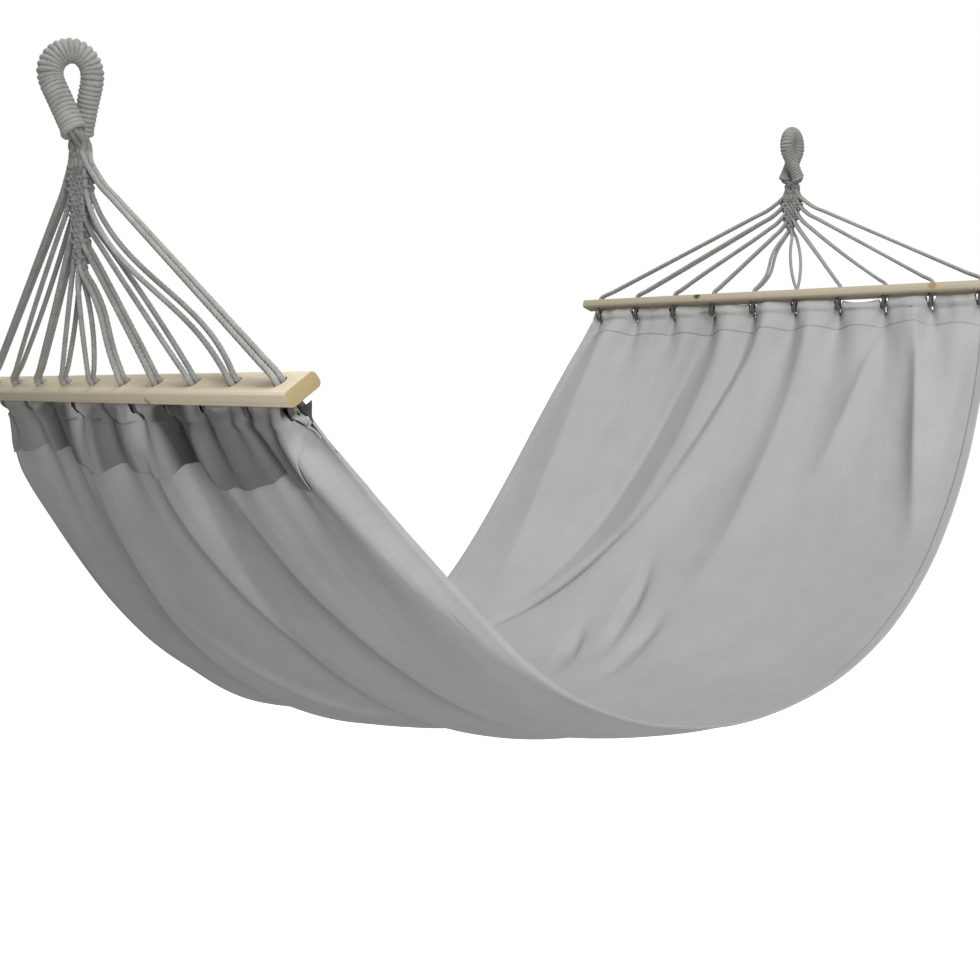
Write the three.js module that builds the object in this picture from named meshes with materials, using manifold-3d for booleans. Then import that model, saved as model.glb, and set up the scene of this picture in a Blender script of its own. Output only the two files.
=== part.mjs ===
// Cotton hammock with two wooden spreader bars, hung from two whipped rope eyes.
// Millimetres, +Z up. +X runs from the head end to the foot end, +Y to the far side.
// The origin is the bearing point of the head eye: the top of its hole, where a hook carries it.

import * as THREE from 'three';
import { mergeVertices } from 'three/addons/utils/BufferGeometryUtils.js';
import Module from 'manifold-3d';

const wasm = await Module();
wasm.setup();

// How the hammock hangs
const eyeSpan = 1476;          // between the bearing points of the two eyes
const headBarInset = 16;       // how far each bar hangs in from under its eye
const footBarInset = 63;
const headBarDrop = 331;       // bearing point down to the top face of the bar
const footBarDrop = 277;
const headBarYaw = -8.4;       // degrees, each bar has settled a little askew
const footBarYaw = 8.9;
const headBarTilt = -2.2;      // degrees, the far end hangs lower
const footBarTilt = -1.2;
const headBarRoll = 31;        // degrees, the bed-side edge of each bar is lifted
const footBarRoll = 17;

// Spreader bars
const barLength = 800;
const barWidth = 38;
const barThickness = 16;
const barEdgeRadius = 5;
const barOverhang = 31;        // each end of a bar beyond its outermost hole
const holeCount = 10;
const holeClearance = 0.8;     // round the two strands in a hole
const cutOverrun = 5;

// Cords, each one doubled: down through its hole, round the hem rope and back up
const cordDiameter = 6;
const strandGap = 0.4;
const entryRise = 6;           // the bend above the bar, where a slanting strand turns into its hole
const exitDrop = 1;
const headSlackShares = [0, 0.05, 0, 0.01, 0, 0, 0, 0, 0, 0];
const footSlackShares = [0, 0, 0.03, 0, 0, 0.03, 0, 0, 0, 0];

// Rope in the hem, and the hem sleeve that holds it
const hemRopeDiameter = 6;
const loopClearance = 0.5;
const sleeveClearance = 0.8;
const sleeveWall = 1.5;
const sleeveGap = 3;           // between the bar and the sleeve
const notchClearance = 2.5;    // to either side of a cord, in its slot in the sleeve

// Bed cloth
const clothThickness = 3;
const clothOverhang = 14;      // each side of the cloth beyond the outermost cord, at the hems
const clothWidthAtMiddle = 941;
const nearSag = 778;           // bearing points down to the lowest line of the near edge
const middleSag = 885;
const farSag = 907;
const lowestShift = 54;        // the lowest line lies this far to the head side of the middle
const headMiddleSteepness = 76;  // degrees below level where the cloth leaves the hem
const headEdgeSteepness = 65;
const footMiddleSteepness = 72;
const footEdgeSteepness = 56;
const headTopReach = 170;      // how far the cloth keeps its slope below each hem
const headBottomReach = 431;   // and how far it keeps level from the lowest line
const footTopReach = 402;
const footBottomReach = 282;
const wideningPower = 2.8;
const pleatDepth = 8;          // the small folds that the cords pinch into the cloth
const pleatAtHemShare = 0.5;
const pleatFadePower = 7;      // how quickly they fade below a hem
const hemPinchPower = 24;      // and how close to the hem they draw in
const foldDepth = 24;          // the long folds, each a share of this
// Each long fold lies at 'at' across the bed at its hem, -1 near to 1 far, and moves by 'drift' towards
// the middle. 'near' and 'far' are its widths. It is full from 'full' on and gone at 'gone', in shares of
// the way from the middle to the hem. A positive height bulges into the bed.
const headFoldShares = [
  { at: -0.83, drift: -0.25, near: 0.13, far: 0.05, height: -0.65, full: 0.75, gone: 0.3 },
  { at: -0.37, drift: -0.33, near: 0.3, far: 0.07, height: -0.75, full: 0.6, gone: 0.1 },
  { at: -0.26, drift: -0.1, near: 0.06, far: 0.14, height: 0.45, full: 0.35, gone: 0 },
  { at: 0.04, drift: -0.34, near: 0.17, far: 0.06, height: -0.75, full: 0.6, gone: 0.1 },
  { at: 0.46, drift: 0.06, near: 0.3, far: 0.07, height: -0.8, full: 0.6, gone: 0.1 },
  { at: 0.62, drift: 0.1, near: 0.08, far: 0.22, height: 0.4, full: 0.6, gone: 0.1 },
];
const footFoldShares = [
  { at: -0.75, drift: -0.7, near: 0.12, far: 0.06, height: 0.6, full: 0.85, gone: 0.55 },
  { at: -0.2, drift: 0.2, near: 0.2, far: 0.08, height: 0.35, full: 0.75, gone: 0.35 },
  { at: 0.01, drift: 0.68, near: 0.1, far: 0.06, height: 0.4, full: 0.9, gone: 0.6 },
  { at: 0.23, drift: 0.3, near: 0.12, far: 0.1, height: 0.4, full: 0.7, gone: 0.35 },
  { at: 0.35, drift: 0.42, near: 0.13, far: 0.06, height: -0.6, full: 0.65, gone: 0.25 },
  { at: 0.9, drift: -0.4, near: 0.14, far: 0.09, height: 0.5, full: 0.7, gone: 0.3 },
];

// Eyes: a rope core bent into a drop shape, wound all along with whipping
const coreDiameter = 14;
const whipThickness = 5.7;
const whipTurns = 24;
const whipGap = 0.6;
const whipSeat = 0.6;
const eyeHoleHalfWidth = 10.1;
const legTaper = 19;           // degrees that each leg leans inwards
const legEndGap = 0.7;         // one leg ends in front of the other, each this far from the middle
const legEndInset = 4;
const legEndDrop = 70;         // bearing point down to the end of the whipping
const headEyeTurn = -30;       // degrees about Z
const footEyeTurn = 6;

// Clews: the woven necks that gather the cords under each eye
const neckRadius = 12;
const neckBendShare = 5 / 7;   // the legs draw together over this much of the core's width
const neckClearance = 0.4;
const swingLimit = 30;         // degrees to either side
const swingMargin = 5;
const clewThickness = 15;
const shoulderHalfWidth = 16;
const shoulderDrop = 14;       // below the neck
const tipHalfWidth = 5;
const headTipDrop = 120;       // neck down to the tip, where the middle cords part
const footTipDrop = 72;
const cordRise = 3;            // the first cords leave just below the shoulder
const seatGap = 0.3;

// How finely the solids are faceted
const cordSides = 6;
const cordBays = 3;
const loopBays = 6;
const coreSteps = 40;
const coreSides = 10;
const whipSteps = 9;
const whipSides = 6;
const neckSegments = 14;
const holeSides = 12;
const sleeveSides = 12;
const ropeSides = 8;
const edgeSegments = 3;
const bedBaysPerCord = 4;
const bedBaysAlong = 17;

// Worked out from the values above
const cordRadius = cordDiameter / 2;
const strandOffset = (cordDiameter + strandGap) / 2;
const hemRopeRadius = hemRopeDiameter / 2;
const holeRadius = strandOffset + cordRadius + holeClearance;
const holeSpan = barLength - barOverhang * 2;
const holePitch = holeSpan / (holeCount - 1);
const notchWidth = cordDiameter + notchClearance * 2;
const loopRadius = hemRopeRadius + loopClearance + cordRadius;
const sleeveInner = loopRadius + cordRadius + sleeveClearance;
const sleeveOuter = sleeveInner + sleeveWall;
const hemRopeLevel = -barThickness / 2 - sleeveGap - sleeveOuter;
const clothLevel = hemRopeLevel - sleeveOuter - seatGap;
const clothWidthAtBar = holeSpan + clothOverhang * 2;
const hemLength = clothWidthAtBar + cordDiameter * 2;
const coreRadius = coreDiameter / 2;
const whipRadius = coreRadius + whipSeat + whipThickness / 2;
const eyeRadius = coreRadius + whipSeat + whipThickness;
const eyeHalfWidth = eyeHoleHalfWidth + eyeRadius;
const legEndOffset = eyeRadius + legEndGap;
const neckDrop = legEndDrop + coreDiameter * neckBendShare + neckRadius;
const neckLevel = -neckDrop;   // where the hammock swings

const cottonGrey = { color: 0x9a9a98, roughness: 0.95, metalness: 0 };
const cordGrey = { color: 0x8a8a86, roughness: 0.95, metalness: 0 };
const pine = { color: 0xd3bd94, roughness: 0.6, metalness: 0 };

const hammock = new THREE.Group();
hammock.name = 'hammock';

const radians = THREE.MathUtils.degToRad;

function addPiece(name, geometry, finish) {
  const mesh = new THREE.Mesh(geometry, new THREE.MeshStandardMaterial(finish));
  mesh.name = name;
  hammock.add(mesh);
  return mesh;
}

// Solids for cutting and back again

function toSolid(geometry) {
  const bare = geometry.clone();
  bare.deleteAttribute('normal');
  bare.deleteAttribute('uv');
  const merged = mergeVertices(bare);
  const vertProperties = new Float32Array(merged.attributes.position.array);
  const triVerts = new Uint32Array(merged.index.array);
  return new wasm.Manifold(new wasm.Mesh({ numProp: 3, vertProperties, triVerts }));
}

function fromSolid(solid) {
  const mesh = solid.getMesh();
  const geometry = new THREE.BufferGeometry();
  geometry.setAttribute('position', new THREE.BufferAttribute(mesh.vertProperties, 3));
  geometry.setIndex(new THREE.BufferAttribute(mesh.triVerts, 1));
  geometry.computeVertexNormals();
  return geometry;
}

// A route with its rings exactly at the given points

class Route extends THREE.Curve {
  constructor(points) {
    super();
    this.points = points;
  }

  getPoint(t) {
    const place = THREE.MathUtils.clamp(t, 0, 1) * (this.points.length - 1);
    const first = Math.min(Math.floor(place), this.points.length - 2);
    return this.points[first].clone().lerp(this.points[first + 1], place - first);
  }

  getPointAt(u) {
    return this.getPoint(u);
  }

  getTangentAt(u) {
    return this.getTangent(u);
  }
}

function roundSection(radius, sides) {
  const section = new THREE.Shape();
  for (let k = 0; k < sides; k += 1) {
    const angle = (k / sides) * Math.PI * 2;
    const x = Math.cos(angle) * radius;
    const y = Math.sin(angle) * radius;
    if (k === 0) section.moveTo(x, y);
    else section.lineTo(x, y);
  }
  section.closePath();
  return section;
}

function tube(route, radius, sides, steps) {
  const section = roundSection(radius, sides);
  return new THREE.ExtrudeGeometry(section, { steps, extrudePath: route, bevelEnabled: false });
}

// Rows of points joined into one closed skin; each row is a closed ring
function skinOfRings(rings) {
  const sides = rings[0].length;
  const positions = [];
  const index = [];
  for (const ring of rings) {
    for (const p of ring) positions.push(p.x, p.y, p.z);
  }
  for (let r = 0; r + 1 < rings.length; r += 1) {
    for (let k = 0; k < sides; k += 1) {
      const a = r * sides + k;
      const b = r * sides + ((k + 1) % sides);
      index.push(a, b, a + sides);
      index.push(b, b + sides, a + sides);
    }
  }
  const last = (rings.length - 1) * sides;
  for (let k = 1; k + 1 < sides; k += 1) {
    index.push(0, k + 1, k);
    index.push(last, last + k, last + k + 1);
  }
  const geometry = new THREE.BufferGeometry();
  geometry.setAttribute('position', new THREE.Float32BufferAttribute(positions, 3));
  geometry.setIndex(index);
  geometry.computeVertexNormals();
  return geometry;
}

// The two ends

const headEnd = {
  name: 'head',
  x: 0,
  inward: 1,
  barInset: headBarInset,
  barDrop: headBarDrop,
  yaw: radians(headBarYaw),
  tilt: radians(headBarTilt),
  roll: radians(headBarRoll),
  tipDrop: headTipDrop,
  eyeTurn: radians(headEyeTurn),
  slackShares: headSlackShares,
};
const footEnd = {
  name: 'foot',
  x: eyeSpan,
  inward: -1,
  barInset: footBarInset,
  barDrop: footBarDrop,
  yaw: radians(footBarYaw),
  tilt: radians(footBarTilt),
  roll: radians(footBarRoll),
  tipDrop: footTipDrop,
  eyeTurn: radians(footEyeTurn),
  slackShares: footSlackShares,
};

// The bar's own frame: its centre, Y along the bar
function barFrame(end) {
  const frame = new THREE.Object3D();
  frame.position.set(end.x + end.inward * end.barInset, 0, -end.barDrop - barThickness / 2);
  frame.rotation.set(end.tilt, -end.inward * end.roll, end.yaw, 'ZXY');
  frame.updateMatrixWorld();
  return frame;
}

function placeInFrame(mesh, frame) {
  mesh.position.copy(frame.position);
  mesh.rotation.copy(frame.rotation);
}

const holePlace = (i) => (i - (holeCount - 1) / 2) * holePitch;

// Spreader bar: a flat lath with rounded edges and a row of holes

function barSection() {
  const x = barWidth / 2;
  const z = barThickness / 2;
  const r = barEdgeRadius;
  const section = new THREE.Shape();
  section.moveTo(-x + r, -z);
  section.absarc(x - r, -z + r, r, -Math.PI / 2, 0, false);
  section.absarc(x - r, z - r, r, 0, Math.PI / 2, false);
  section.absarc(-x + r, z - r, r, Math.PI / 2, Math.PI, false);
  section.absarc(-x + r, -z + r, r, Math.PI, Math.PI * 1.5, false);
  return section;
}

function barGeometry() {
  const lath = new THREE.ExtrudeGeometry(barSection(), {
    depth: barLength,
    steps: 1,
    curveSegments: edgeSegments,
    bevelEnabled: false,
  });
  lath.rotateX(Math.PI / 2);
  lath.translate(0, barLength / 2, 0);
  let solid = toSolid(lath);
  for (let i = 0; i < holeCount; i += 1) {
    const drill = new THREE.CylinderGeometry(holeRadius, holeRadius, barThickness + cutOverrun * 2, holeSides);
    drill.rotateX(Math.PI / 2);
    drill.translate(0, holePlace(i), 0);
    solid = solid.subtract(toSolid(drill));
  }
  return fromSolid(solid);
}

// Hem sleeve: an open tube across the end of the bed, slotted from above at each cord

function sleeveGeometry() {
  const ring = roundSection(sleeveOuter, sleeveSides);
  ring.holes.push(roundSection(sleeveInner, sleeveSides));
  const pipe = new THREE.ExtrudeGeometry(ring, { depth: hemLength, steps: 1, bevelEnabled: false });
  pipe.rotateX(Math.PI / 2);
  pipe.translate(0, hemLength / 2, hemRopeLevel);
  let solid = toSolid(pipe);
  const cutHeight = sleeveOuter + cutOverrun;
  const cutWidth = (sleeveOuter + cutOverrun) * 2;
  for (let i = 0; i < holeCount; i += 1) {
    const slot = new THREE.BoxGeometry(cutWidth, notchWidth, cutHeight);
    slot.translate(0, holePlace(i), hemRopeLevel + cutHeight / 2);
    solid = solid.subtract(toSolid(slot));
  }
  return fromSolid(solid);
}

function hemRopeGeometry() {
  const rope = new THREE.CylinderGeometry(hemRopeRadius, hemRopeRadius, hemLength, ropeSides);
  rope.translate(0, 0, hemRopeLevel);
  return rope;
}

// Clew: rounded over the neck, widest at the shoulders, then narrowing to its tip

function clewGeometry(end) {
  const outline = new THREE.Shape();
  const lip = radians(swingLimit + swingMargin);
  outline.absarc(0, 0, neckRadius, -lip, Math.PI + lip, false);
  outline.lineTo(-shoulderHalfWidth, -shoulderDrop);
  outline.lineTo(-tipHalfWidth, -end.tipDrop);
  outline.lineTo(tipHalfWidth, -end.tipDrop);
  outline.lineTo(shoulderHalfWidth, -shoulderDrop);
  outline.closePath();
  const plate = new THREE.ExtrudeGeometry(outline, {
    depth: clewThickness,
    steps: 1,
    curveSegments: neckSegments,
    bevelEnabled: false,
  });
  plate.translate(0, 0, -clewThickness / 2);
  plate.rotateX(Math.PI / 2);
  plate.rotateZ(Math.PI / 2);
  return plate;
}

// Where a cord leaves the slanted side of the clew, clear of it by the seat gap
function cordStart(end, side, rank, strand, target) {
  const shoulder = new THREE.Vector3(0, side * shoulderHalfWidth, neckLevel - shoulderDrop - cordRise);
  const tip = new THREE.Vector3(0, side * tipHalfWidth, neckLevel - end.tipDrop);
  const seat = tip.clone().lerp(shoulder, rank / (holeCount / 2 - 1));
  const edge = shoulder.clone().sub(tip).normalize();
  const outward = new THREE.Vector3(0, side * edge.z, -side * edge.y);
  const heading = target.clone().sub(seat);
  heading.x = 0;
  heading.normalize();
  const lean = heading.dot(outward);
  const reach = (cordRadius * Math.sqrt(1 - lean * lean) + seatGap) / lean;
  seat.addScaledVector(heading, reach);
  seat.x = end.x + strand * strandOffset;
  return seat;
}

function strandAbove(end, frame, i, strand) {
  const place = holePlace(i);
  const side = Math.sign(place);
  const rank = Math.abs(i - (holeCount - 1) / 2) - 0.5;
  const entry = new THREE.Vector3(strand * strandOffset, place, barThickness / 2 + entryRise);
  frame.localToWorld(entry);
  const start = cordStart(end, side, rank, strand, entry);
  const slack = start.distanceTo(entry) * end.slackShares[i];
  const points = [];
  for (let k = 0; k <= cordBays; k += 1) {
    const share = k / cordBays;
    const point = start.clone().lerp(entry, share);
    point.z -= slack * Math.sin(Math.PI * share);
    points.push(point);
  }
  return points;
}

function cordGeometry(end, frame, i) {
  const place = holePlace(i);
  const below = -barThickness / 2 - exitDrop;
  const down = strandAbove(end, frame, i, -1);
  const up = strandAbove(end, frame, i, 1).reverse();
  const loop = [];
  for (let k = 0; k <= loopBays; k += 1) {
    const angle = Math.PI * (1 + k / loopBays);
    const x = Math.cos(angle) * loopRadius;
    const z = hemRopeLevel + Math.sin(angle) * loopRadius;
    loop.push(frame.localToWorld(new THREE.Vector3(x, place, z)));
  }
  const out = frame.localToWorld(new THREE.Vector3(-strandOffset, place, below));
  const back = frame.localToWorld(new THREE.Vector3(strandOffset, place, below));
  const points = [...down, out, ...loop, back, ...up];
  return tube(new Route(points), cordRadius, cordSides, points.length - 1);
}

// Eye: the centre line of its core, from the neck up one leg, over the top and down the other

function eyeCentreLine(end) {
  const middle = eyeRadius - eyeHalfWidth;
  const taper = radians(legTaper);
  const points = [];
  const along = new THREE.Vector3(Math.cos(end.eyeTurn), Math.sin(end.eyeTurn), 0);
  const across = new THREE.Vector3(-Math.sin(end.eyeTurn), Math.cos(end.eyeTurn), 0);
  const place = (a, e, z) => {
    const p = new THREE.Vector3(end.x, 0, z);
    p.addScaledVector(along, a * end.inward);
    p.addScaledVector(across, e * end.inward);
    return p;
  };
  const legTopA = eyeHalfWidth * Math.cos(taper);
  const legTopZ = middle - eyeHalfWidth * Math.sin(taper);
  const leg = (side) => {
    const steps = [];
    const bays = 4;
    for (let k = 1; k <= bays; k += 1) {
      const share = k / bays;
      const a = THREE.MathUtils.lerp(legTopA, legEndInset, share);
      const z = THREE.MathUtils.lerp(legTopZ, -legEndDrop, share);
      steps.push(place(side * a, side * legEndOffset * share, z));
    }
    steps.push(place(0, side * (coreRadius + seatGap), neckLevel + neckRadius));
    steps.push(place(0, side * (coreRadius + seatGap), neckLevel));
    return steps;
  };
  points.push(...leg(1).reverse());
  const arcBays = 8;
  for (let k = 0; k <= arcBays; k += 1) {
    const angle = THREE.MathUtils.lerp(-taper, Math.PI + taper, k / arcBays);
    const a = eyeHalfWidth * Math.cos(angle);
    points.push(place(a, 0, middle + eyeHalfWidth * Math.sin(angle)));
  }
  points.push(...leg(-1));
  return new THREE.CatmullRomCurve3(points, false, 'centripetal');
}

function coreGeometry(end, centreLine) {
  const rope = toSolid(tube(centreLine, coreRadius, coreSides, coreSteps));
  const seatRadius = neckRadius + neckClearance;
  const length = (clewThickness + eyeHalfWidth) * 2;
  const seat = new THREE.CylinderGeometry(seatRadius, seatRadius, length, coreSteps);
  seat.rotateZ(Math.PI / 2);
  seat.translate(end.x, 0, neckLevel);
  return fromSolid(rope.subtract(toSolid(seat)));
}

// Whipping: one cord wound round the core from the end of one leg to the end of the other.
// Its width follows the room that the turns have, less inside the bend and more outside it.
function whipGeometry(end, centreLine) {
  const whipEnd = -legEndDrop;
  const samples = coreSteps * whipSteps;
  const spaced = centreLine.getSpacedPoints(samples);
  const whipped = spaced.map((p, k) => ({ p, share: k / samples })).filter(({ p }) => p.z >= whipEnd);
  const first = whipped[0].share;
  const last = whipped[whipped.length - 1].share;
  const total = whipTurns * whipSteps;
  const frames = centreLine.computeFrenetFrames(samples, false);
  const radials = [];
  const centres = [];
  const tangents = [];
  for (let k = 0; k <= total; k += 1) {
    const share = THREE.MathUtils.lerp(first, last, k / total);
    const near = Math.round(share * samples);
    const angle = (k / whipSteps) * Math.PI * 2;
    const radial = frames.normals[near].clone().multiplyScalar(Math.cos(angle));
    radial.addScaledVector(frames.binormals[near], Math.sin(angle)).normalize();
    radials.push(radial);
    tangents.push(frames.tangents[near]);
    centres.push(centreLine.getPointAt(share).addScaledVector(radial, whipRadius));
  }
  const room = (k) => {
    const gaps = [];
    if (k >= whipSteps) gaps.push(centres[k].distanceTo(centres[k - whipSteps]));
    if (k + whipSteps <= total) gaps.push(centres[k].distanceTo(centres[k + whipSteps]));
    return Math.min(...gaps);
  };
  const rings = centres.map((centre, k) => {
    const halfWidth = (room(k) - whipGap) / 2;
    const ring = [];
    for (let j = 0; j < whipSides; j += 1) {
      const angle = -((j + 0.5) / whipSides) * Math.PI * 2;
      const p = centre.clone();
      p.addScaledVector(radials[k], Math.cos(angle) * (whipThickness / 2));
      p.addScaledVector(tangents[k], Math.sin(angle) * halfWidth);
      ring.push(p);
    }
    return ring;
  });
  console.log(`${end.name} whipping: least gap to itself ${leastGap(rings).toFixed(2)} mm`);
  return skinOfRings(rings);
}

// Least distance between the points of turns that lie next to or across from each other
function leastGap(rings) {
  let least = Infinity;
  const apart = Math.ceil(whipSteps / 2);
  for (let i = 0; i < rings.length; i += 1) {
    for (let j = i + apart; j < rings.length; j += 1) {
      for (const p of rings[i]) {
        for (const q of rings[j]) least = Math.min(least, p.distanceTo(q));
      }
    }
  }
  return least;
}

// Bed cloth: each lengthwise line hangs from hem to hem, and the lines are deepest in the middle

const parabola = (near, middle, far, t) => middle + ((far - near) / 2) * t + ((far + near) / 2 - middle) * t * t;

function bedLine(headFrame, footFrame, t) {
  const halfAtBar = clothWidthAtBar / 2;
  const head = headFrame.localToWorld(new THREE.Vector3(0, t * halfAtBar, clothLevel));
  const foot = footFrame.localToWorld(new THREE.Vector3(0, t * halfAtBar, clothLevel));
  const low = new THREE.Vector3(eyeSpan / 2 - lowestShift, 0, -parabola(nearSag, middleSag, farSag, t));
  const headSlope = radians(parabola(headEdgeSteepness, headMiddleSteepness, headEdgeSteepness, t));
  const footSlope = radians(parabola(footEdgeSteepness, footMiddleSteepness, footEdgeSteepness, t));
  const at = (from, x, z) => new THREE.Vector3(from.x + x, 0, from.z + z);
  const headHalf = new THREE.CubicBezierCurve3(
    at(head, 0, 0),
    at(head, headTopReach * Math.cos(headSlope), -headTopReach * Math.sin(headSlope)),
    at(low, -headBottomReach, 0),
    low,
  );
  const footHalf = new THREE.CubicBezierCurve3(
    low,
    at(low, footBottomReach, 0),
    at(foot, -footTopReach * Math.cos(footSlope), -footTopReach * Math.sin(footSlope)),
    at(foot, 0, 0),
  );
  return (s) => {
    const p = s < 0 ? headHalf.getPoint(1 + s) : footHalf.getPoint(s);
    const widening = (t * (clothWidthAtMiddle - clothWidthAtBar)) / 2;
    p.y = THREE.MathUtils.lerp(head.y, foot.y, (s + 1) / 2);
    p.y += widening * (1 - Math.abs(s) ** wideningPower);
    return p;
  };
}

// How far the cloth stands off its smooth surface. Between the cords it bulges out under the head
// bar and in under the foot bar.
function foldHeight(s, t) {
  const nearness = Math.abs(s);
  const atHem = nearness ** hemPinchPower;
  const drawnIn = THREE.MathUtils.lerp(1, pleatAtHemShare, atHem);
  const pinch = -Math.sign(s) * Math.cos(Math.PI * ((t * clothWidthAtBar) / holePitch - 1));
  let height = pleatDepth * nearness ** pleatFadePower * drawnIn * pinch;
  for (const fold of s < 0 ? headFoldShares : footFoldShares) {
    const off = t - fold.at - fold.drift * (1 - nearness);
    const width = off < 0 ? fold.near : fold.far;
    const grown = THREE.MathUtils.smoothstep(nearness, fold.gone, fold.full);
    height += foldDepth * fold.height * grown * (1 - atHem) * Math.exp(-((off / width) ** 2));
  }
  return height;
}

// The way the cloth faces; along a hem it faces straight in, square to the sleeve above it
function bedNormal(headFrame, footFrame, s, t) {
  if (s === -1) return new THREE.Vector3(1, 0, 0).transformDirection(headFrame.matrixWorld);
  if (s === 1) return new THREE.Vector3(-1, 0, 0).transformDirection(footFrame.matrixWorld);
  const step = 1e-3;
  const aside = t < 0 ? step : -step;
  const line = bedLine(headFrame, footFrame, t);
  const neighbour = bedLine(headFrame, footFrame, t + aside);
  const alongBed = line(s + step).sub(line(s - step));
  const acrossBed = neighbour(s).sub(line(s)).multiplyScalar(Math.sign(aside));
  return alongBed.cross(acrossBed).normalize();
}

function clothGeometry(headFrame, footFrame) {
  const across = (holeCount - 1) * bedBaysPerCord;
  const rows = [];
  for (let i = 0; i <= bedBaysAlong; i += 1) {
    const s = (i / bedBaysAlong) * 2 - 1;
    const row = [];
    for (let j = 0; j <= across; j += 1) {
      const t = (j / across) * 2 - 1;
      const normal = bedNormal(headFrame, footFrame, s, t);
      const here = bedLine(headFrame, footFrame, t)(s);
      row.push({ here: here.addScaledVector(normal, foldHeight(s, t)), normal });
    }
    rows.push(row);
  }
  const half = clothThickness / 2;
  const rings = rows.map((row) => {
    const top = row.map(({ here, normal }) => here.clone().addScaledVector(normal, half));
    const under = row.map(({ here, normal }) => here.clone().addScaledVector(normal, -half));
    return [...under, ...top.reverse()];
  });
  return skinOfRings(rings);
}

// Put the hammock together

for (const end of [headEnd, footEnd]) {
  const frame = barFrame(end);
  end.frame = frame;
  placeInFrame(addPiece(`${end.name}_spreader_bar`, barGeometry(), pine), frame);
  placeInFrame(addPiece(`${end.name}_hem`, sleeveGeometry(), cottonGrey), frame);
  placeInFrame(addPiece(`${end.name}_hem_rope`, hemRopeGeometry(), cordGrey), frame);
  for (let i = 0; i < holeCount; i += 1) {
    addPiece(`${end.name}_cord_${i + 1}`, cordGeometry(end, frame, i), cordGrey);
  }
  const clew = addPiece(`${end.name}_clew`, clewGeometry(end), cordGrey);
  clew.position.set(end.x, 0, neckLevel);
  const centreLine = eyeCentreLine(end);
  addPiece(`${end.name}_eye_core`, coreGeometry(end, centreLine), cordGrey);
  addPiece(`${end.name}_eye_whipping`, whipGeometry(end, centreLine), cordGrey);
}

addPiece('bed_cloth', clothGeometry(headEnd.frame, footEnd.frame), cottonGrey);

export default hammock;
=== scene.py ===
import bpy
import bmesh
import math
from mathutils import Matrix, Vector, noise


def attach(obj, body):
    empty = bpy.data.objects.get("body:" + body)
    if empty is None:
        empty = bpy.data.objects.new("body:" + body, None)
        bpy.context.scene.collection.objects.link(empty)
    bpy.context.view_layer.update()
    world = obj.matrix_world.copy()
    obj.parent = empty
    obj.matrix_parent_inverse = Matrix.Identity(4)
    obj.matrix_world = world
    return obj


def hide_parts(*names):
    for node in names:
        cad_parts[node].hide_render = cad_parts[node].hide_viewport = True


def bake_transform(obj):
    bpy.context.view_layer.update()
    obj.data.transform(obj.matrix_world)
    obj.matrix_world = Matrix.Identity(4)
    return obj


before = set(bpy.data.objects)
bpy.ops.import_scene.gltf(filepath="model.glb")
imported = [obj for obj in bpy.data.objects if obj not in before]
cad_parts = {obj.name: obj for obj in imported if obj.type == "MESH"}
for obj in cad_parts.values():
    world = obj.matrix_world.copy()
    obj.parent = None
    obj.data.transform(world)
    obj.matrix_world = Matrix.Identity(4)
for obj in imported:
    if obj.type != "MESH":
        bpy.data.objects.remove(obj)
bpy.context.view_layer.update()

scene = bpy.context.scene
scene.view_settings.view_transform = "Standard"
print("frame loaded")

# Camera, at the photograph's viewing angle
cameraSetup = {
    "place": Vector((-0.7430, -1.2573, -0.2404)),
    "facing": Vector((0.72412, 0.67138, -0.15779)),
    "up": Vector((0.14064, 0.08024, 0.98680)),
    "lens": 47.53, "sensor": 36, "clip": (0.05, 60),
}


def addCamera(setup):
    data = bpy.data.cameras.new("camera")
    data.lens = setup["lens"]
    data.sensor_width = setup["sensor"]
    data.clip_start, data.clip_end = setup["clip"]
    camera = bpy.data.objects.new("camera", data)
    scene.collection.objects.link(camera)
    facing = setup["facing"].normalized()
    right = facing.cross(setup["up"]).normalized()
    up = right.cross(facing)
    turn = Matrix((right, up, -facing)).transposed()
    camera.matrix_world = Matrix.Translation(setup["place"]) @ turn.to_4x4()
    scene.camera = camera


addCamera(cameraSetup)

# How the hammock hangs, in metres and degrees, at the same places as in the frame
hang = {
    "eyeSpan": 1.476, "pitch": 0.082, "holes": 10,
    "neckLevel": -0.092,
    "barThickness": 0.016,
    "ropeLevel": -0.0228,  # the hem rope, below the middle of the bar
    "clothLevel": -0.0349,  # where the bed starts, below the sleeve
}
head = {
    "name": "head", "x": 0.0, "inward": 1, "inset": 0.016, "drop": 0.331,
    "yaw": -8.4, "tilt": -2.2, "roll": -31, "eyeTurn": -30, "tipDrop": 0.120, "lean": 0.017,
}
foot = {
    "name": "foot", "x": hang["eyeSpan"], "inward": -1, "inset": 0.063, "drop": 0.277,
    "yaw": 8.9, "tilt": -1.2, "roll": 17, "eyeTurn": 6, "tipDrop": 0.072, "lean": 0.003,
}


def barPlace(end):
    level = -end["drop"] - hang["barThickness"] / 2
    place = Vector((end["x"] + end["inward"] * end["inset"], 0, level))
    yaw = Matrix.Rotation(math.radians(end["yaw"]), 4, "Z")
    tilt = Matrix.Rotation(math.radians(end["tilt"]), 4, "X")
    roll = Matrix.Rotation(math.radians(end["roll"]), 4, "Y")
    return Matrix.Translation(place) @ yaw @ tilt @ roll


for end in (head, foot):
    end["frame"] = barPlace(end)


def holeAcross(i):
    return (i - (hang["holes"] - 1) / 2) * hang["pitch"]


def mix(a, b, share):
    return a + (b - a) * share


# Materials: every look holds the settings of its nodes by the names of their sockets

def newMaterial(name):
    material = bpy.data.materials.new(name)
    material.use_nodes = True
    tree = material.node_tree
    return material, tree, tree.nodes["Principled BSDF"]


def setSockets(node, values):
    for key, value in values.items():
        node.inputs[key].default_value = value


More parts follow.
